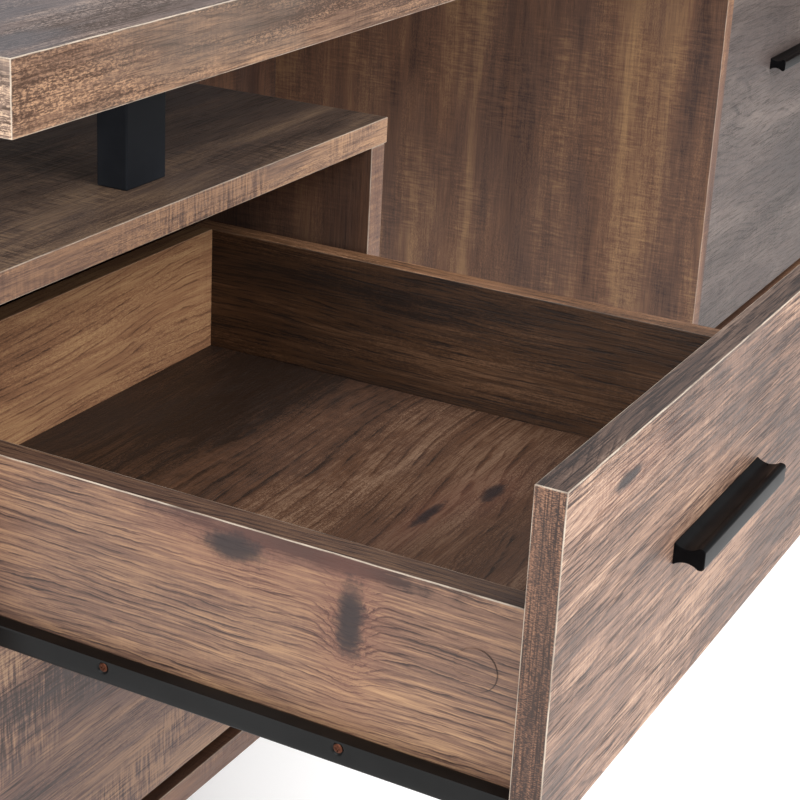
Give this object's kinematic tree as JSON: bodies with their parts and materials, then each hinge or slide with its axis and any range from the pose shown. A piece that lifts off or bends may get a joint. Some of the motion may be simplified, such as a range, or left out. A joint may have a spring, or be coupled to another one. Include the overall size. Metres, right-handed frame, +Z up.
{
  "type": "corner_desk",
  "caption": "L-shaped corner desk: a thick oak worktop raised on posts over two drawer cabinets, with a side return on black steel frames",
  "frame": {"origin": "On the floor, under the middle of the desk's overall box.", "axes": "Z is up. The main worktop runs along X and its drawers open towards -Y. The side return runs along Y on the +X side."},
  "size_m": [2.1116, 1.45, 0.755],
  "materials": {
    "worktop_oak": "matte",
    "oak_board": "matte",
    "back_board": "matte",
    "drawer_bottom_board": "matte",
    "black_steel": "satin",
    "runner_steel": "satin",
    "handle_black": "satin",
    "screw_metal": "satin",
    "nylon": "matte",
    "black_plastic": "matte"
  },
  "bodies": {
    "desk": {"main_top": "worktop_oak", "return_top": "worktop_oak", "joining_plates": "black_steel", "posts": "black_steel", "worktop_bolts": "screw_metal", "cab_a_top": "oak_board", "cab_a_left": "oak_board", "cab_a_right": "oak_board", "cab_a_bottom": "oak_board", "cab_a_back": "back_board", "cab_a_base": "black_steel", "cab_b_top": "oak_board", "cab_b_left": "oak_board", "cab_b_right": "oak_board", "cab_b_bottom": "oak_board", "cab_b_back": "back_board", "cab_b_base": "black_steel", "modesty_panel": "oak_board", "return_leg_front": "black_steel", "return_leg_rear": "black_steel", "return_rails": "black_steel", "return_modesty": "oak_board", "glides": "black_plastic", "runner_screws": "screw_metal", "upper_cabinet_runners": "runner_steel", "lower_cabinet_runners": "runner_steel", "file_cabinet_runners": "runner_steel"},
    "upper_drawer": {"upper_front": "oak_board", "upper_side_left": "oak_board", "upper_side_right": "oak_board", "upper_back": "oak_board", "upper_bottom": "drawer_bottom_board", "upper_handle": "handle_black", "upper_runners": "runner_steel", "upper_screws": "screw_metal", "upper_caps": "oak_board"},
    "upper_rear_roller_pair": {"upper_rear_rollers": "nylon"},
    "upper_front_roller_pair": {"upper_front_rollers": "nylon"},
    "lower_drawer": {"lower_front": "oak_board", "lower_side_left": "oak_board", "lower_side_right": "oak_board", "lower_back": "oak_board", "lower_bottom": "drawer_bottom_board", "lower_handle": "handle_black", "lower_runners": "runner_steel", "lower_screws": "screw_metal", "lower_caps": "oak_board"},
    "lower_rear_roller_pair": {"lower_rear_rollers": "nylon"},
    "lower_front_roller_pair": {"lower_front_rollers": "nylon"},
    "file_drawer": {"file_front": "oak_board", "file_side_left": "oak_board", "file_side_right": "oak_board", "file_back": "oak_board", "file_bottom": "drawer_bottom_board", "file_handle": "handle_black", "file_runners": "runner_steel", "file_screws": "screw_metal", "file_caps": "oak_board"},
    "file_rear_roller_pair": {"file_rear_rollers": "nylon"},
    "file_front_roller_pair": {"file_front_rollers": "nylon"}
  },
  "joints": [
    {"name": "upper_slide", "type": "slide", "parent": "desk", "child": "upper_drawer", "axis": [0, -1, 0], "range_m": [-0.338, 0]},
    {"name": "upper_front_roll", "type": "hinge", "parent": "desk", "child": "upper_front_roller_pair", "pos_m": [-0.81575, 0.215, 0.4333], "axis": [1, 0, 0], "continuous": true},
    {"name": "upper_rear_roll", "type": "hinge", "parent": "upper_drawer", "child": "upper_rear_roller_pair", "pos_m": [-0.81575, 0.28, 0.4311], "axis": [1, 0, 0], "continuous": true},
    {"name": "lower_slide", "type": "slide", "parent": "desk", "child": "lower_drawer", "axis": [0, -1, 0], "range_m": [0, 0.338]},
    {"name": "lower_front_roll", "type": "hinge", "parent": "desk", "child": "lower_front_roller_pair", "pos_m": [-0.81575, 0.215, 0.2463], "axis": [1, 0, 0], "continuous": true},
    {"name": "lower_rear_roll", "type": "hinge", "parent": "lower_drawer", "child": "lower_rear_roller_pair", "pos_m": [-0.81575, 0.618, 0.2441], "axis": [1, 0, 0], "continuous": true},
    {"name": "file_slide", "type": "slide", "parent": "desk", "child": "file_drawer", "axis": [0, -1, 0], "range_m": [0, 0.338]},
    {"name": "file_front_roll", "type": "hinge", "parent": "desk", "child": "file_front_roller_pair", "pos_m": [0.36525, 0.215, 0.2463], "axis": [1, 0, 0], "continuous": true},
    {"name": "file_rear_roll", "type": "hinge", "parent": "file_drawer", "child": "file_rear_roller_pair", "pos_m": [0.36525, 0.618, 0.2441], "axis": [1, 0, 0], "continuous": true}
  ],
  "couplings": [
    {"joint": "upper_front_roll", "follows": "upper_slide", "rad_per_m": 133.33},
    {"joint": "upper_rear_roll", "follows": "upper_slide", "rad_per_m": 133.33},
    {"joint": "lower_front_roll", "follows": "lower_slide", "rad_per_m": 133.33},
    {"joint": "lower_rear_roll", "follows": "lower_slide", "rad_per_m": 133.33},
    {"joint": "file_front_roll", "follows": "file_slide", "rad_per_m": 133.33},
    {"joint": "file_rear_roll", "follows": "file_slide", "rad_per_m": 133.33}
  ]
}
